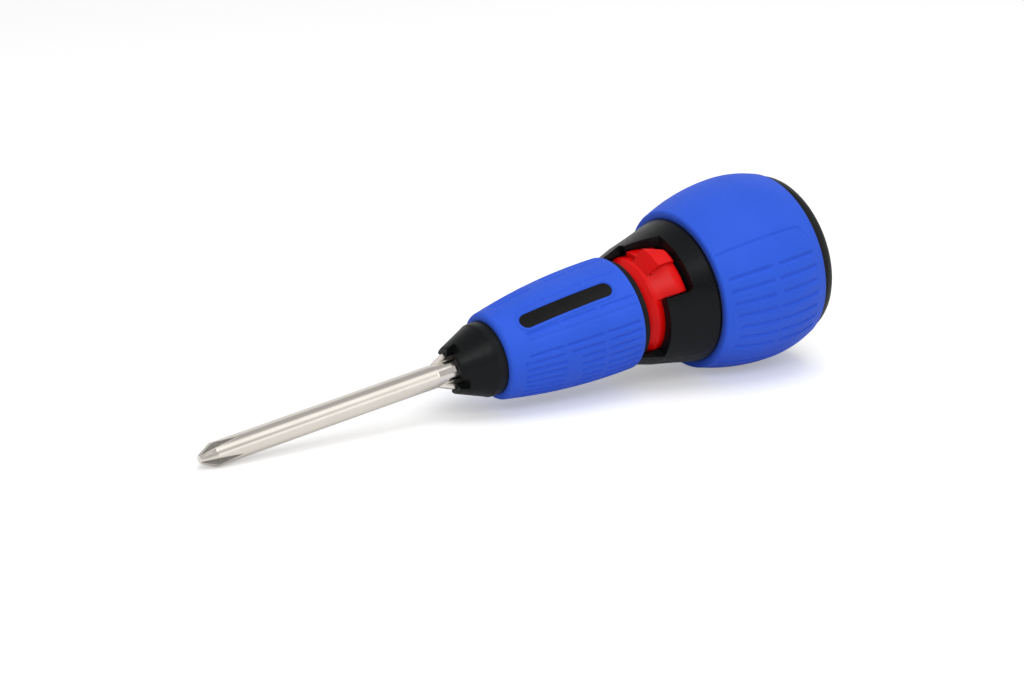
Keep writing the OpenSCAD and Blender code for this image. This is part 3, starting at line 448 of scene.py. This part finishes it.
blue = soft_blue()
black = black_plastic("black_plastic", (0.0045, 0.005, 0.0055), 0.32, 0.008)
cap_black = black_plastic("cap_black", (0.005, 0.0055, 0.006), 0.40, 0.010)
nose_black = black_plastic("nose_black", (0.005, 0.0058, 0.0062), 0.36, 0.010)
inner_black = black_plastic("inner_black", (0.008, 0.008, 0.009), 0.6, 0.01)
red = red_plastic()
plate = plate_gloss()
steel = nickel()
machined = plain_steel("machined_steel", (0.42, 0.43, 0.44), 0.34)
spring = plain_steel("spring_wire", (0.52, 0.52, 0.53), 0.3)
zinc = plain_steel("zinc_casting", (0.14, 0.14, 0.145), 0.6)
bronze = plain_steel("sintered_bronze", (0.46, 0.30, 0.12), 0.45)
rubber = black_plastic("ring_rubber", (0.012, 0.012, 0.012), 0.75, 0.01)

NODE_FINISH = {
    "blade": steel, "nose_cone": nose_black, "blade_ring": rubber, "front_core": inner_black,
    "label_plate": plate, "spindle": machined, "front_washer": machined, "ratchet_gear": machined,
    "rear_washer": machined, "circlip": spring, "front_hub": inner_black, "front_bush": bronze,
    "selector_ring": red, "forward_pawl": machined, "reverse_pawl": machined, "pawl_pins": machined,
    "forward_pawl_spring": spring, "reverse_pawl_spring": spring, "pawl_carrier": zinc,
    "detent_ball": machined, "detent_spring": spring, "rear_bush": bronze, "ratchet_collar": black,
    "housing_screws": machined, "rear_core": inner_black, "end_cap": cap_black,
}
for name, finish in NODE_FINISH.items():
    frame["nodes"][name].material_slots[0].material = finish
for piece in (grip, knob):
    piece.data.materials.append(blue)


def floor_material():
    """Pale floor that keeps the shadow; part of its white is its own, for the camera and mirror images."""
    material = bpy.data.materials.new("pale_floor")
    material.use_nodes = True
    tree = material.node_tree
    tree.nodes.clear()
    out = tree.nodes.new("ShaderNodeOutputMaterial")
    diffuse = tree.nodes.new("ShaderNodeBsdfDiffuse")
    diffuse.inputs["Color"].default_value = (FLOOR_WHITE, FLOOR_WHITE, FLOOR_WHITE, 1)
    glow = tree.nodes.new("ShaderNodeEmission")
    path = tree.nodes.new("ShaderNodeLightPath")
    strength = tree.nodes.new("ShaderNodeMath")
    strength.operation = "MULTIPLY"
    strength.inputs[1].default_value = FLOOR_LIFT
    mirrored = tree.nodes.new("ShaderNodeMath")
    mirrored.operation = "MULTIPLY_ADD"
    mirrored.inputs[1].default_value = FLOOR_MIRRORED
    tree.links.new(path.outputs["Is Glossy Ray"], mirrored.inputs[0])
    tree.links.new(path.outputs["Is Camera Ray"], mirrored.inputs[2])
    tree.links.new(mirrored.outputs[0], strength.inputs[0])
    tree.links.new(strength.outputs[0], glow.inputs["Strength"])
    both = tree.nodes.new("ShaderNodeAddShader")
    tree.links.new(diffuse.outputs[0], both.inputs[0])
    tree.links.new(glow.outputs[0], both.inputs[1])
    tree.links.new(both.outputs[0], out.inputs["Surface"])
    return material


floor_mesh = bpy.data.meshes.new("pale_floor")
half = FLOOR_HALF
corners = [(-half, -half, 0), (half, -half, 0), (half, half, 0), (-half, half, 0)]
floor_mesh.from_pydata(corners, [], [(0, 1, 2, 3)])
floor = bpy.data.objects.new("pale_floor", floor_mesh)
bpy.context.scene.collection.objects.link(floor)
floor_mesh.materials.append(floor_material())


def studio_world():
    """Soft light from all round, a room for mirror images, and plain white for the camera."""
    world = bpy.data.worlds.new("studio")
    bpy.context.scene.world = world
    world.use_nodes = True
    tree = world.node_tree
    tree.nodes.clear()
    coords = tree.nodes.new("ShaderNodeTexCoord").outputs["Generated"]
    parts = tree.nodes.new("ShaderNodeSeparateXYZ")
    tree.links.new(coords, parts.inputs[0])

    def ranged(source, limits, low, high):
        node = tree.nodes.new("ShaderNodeMapRange")
        node.interpolation_type = "SMOOTHSTEP"
        for name, value in zip(RANGE_SOCKETS, (*limits, low, high)):
            node.inputs[name].default_value = value
        tree.links.new(source, node.inputs["Value"])
        return node.outputs["Result"]

    def zone(way, edge, outside, inside):
        toward = tree.nodes.new("ShaderNodeVectorMath")
        toward.operation = "DOT_PRODUCT"
        toward.inputs[1].default_value = way
        tree.links.new(coords, toward.inputs[0])
        return ranged(toward.outputs["Value"], edge, outside, inside)

    def joined(operation, a, b):
        node = tree.nodes.new("ShaderNodeMath")
        node.operation = operation
        tree.links.new(a, node.inputs[0])
        tree.links.new(b, node.inputs[1])
        return node.outputs[0]

    def background(strength):
        node = tree.nodes.new("ShaderNodeBackground")
        node.inputs["Color"].default_value = (1, 1, 1, 1)
        if strength:
            tree.links.new(strength, node.inputs["Strength"])
        return node.outputs[0]

    def chosen(ray, otherwise, shader):
        mix = tree.nodes.new("ShaderNodeMixShader")
        tree.links.new(path.outputs[ray], mix.inputs[0])
        tree.links.new(otherwise, mix.inputs[1])
        tree.links.new(shader, mix.inputs[2])
        return mix.outputs[0]

    path = tree.nodes.new("ShaderNodeLightPath")
    walls = joined("ADD", zone(SCREEN_WAY, SCREEN_EDGE, ROOM, ROOM + SCREEN_GAIN),
                   zone(BACK_WAY, BACK_EDGE, 0.0, BACK_GAIN))
    room = joined("MULTIPLY", walls, zone(DARK_WAY, DARK_EDGE, 1.0, DARK_PLACE))
    light = background(ranged(parts.outputs["Z"], WORLD_CLIMB, WORLD_LOW, WORLD_HIGH))
    seen = chosen("Is Camera Ray", chosen("Is Glossy Ray", light, background(room)), background(None))
    out = tree.nodes.new("ShaderNodeOutputWorld")
    tree.links.new(seen, out.inputs["Surface"])


def softbox(name, place, target, size, power, mirrored):
    """Soft lamp that faces target."""
    lamp = bpy.data.lights.new(name, "AREA")
    lamp.shape = "RECTANGLE"
    lamp.size, lamp.size_y = size
    lamp.energy = power
    obj = bpy.data.objects.new(name, lamp)
    obj.location = place
    obj.rotation_euler = (Vector(target) - place).to_track_quat("-Z", "Y").to_euler()
    obj.visible_glossy = mirrored
    bpy.context.scene.collection.objects.link(obj)


right = Vector((math.cos(VIEW_TURN), math.sin(VIEW_TURN), 0.0))
ahead = Vector((-math.sin(VIEW_TURN) * math.cos(VIEW_DOWN), math.cos(VIEW_TURN) * math.cos(VIEW_DOWN),
                -math.sin(VIEW_DOWN)))
up = right.cross(ahead)
camera_data = bpy.data.cameras.new("camera")
camera_data.sensor_width = SENSOR
camera_data.lens = FOCAL_PIXELS * SENSOR / IMAGE_WIDTH
camera_data.clip_start, camera_data.clip_end = CLIP_NEAR, CLIP_FAR
camera = bpy.data.objects.new("camera", camera_data)
eye = ORIGIN - (right * VIEW_OFFSET[0] + up * VIEW_OFFSET[1] + ahead * VIEW_OFFSET[2]) * MM
camera.matrix_world = Matrix.Translation(eye) @ Matrix((right, up, -ahead)).transposed().to_4x4()
bpy.context.scene.collection.objects.link(camera)
bpy.context.scene.camera = camera

studio_world()


def studio_place(to_right, toward, height):
    """Place above the floor, in metres to the right of the picture and toward the camera."""
    level = Vector((ahead.x, ahead.y, 0.0)).normalized()
    return right * to_right - level * toward + Vector((0.0, 0.0, height))


for name, place, target, size, power, mirrored in LAMPS:
    softbox(name, studio_place(*place), target, size, power, mirrored)

bpy.context.scene.view_settings.view_transform = "Standard"
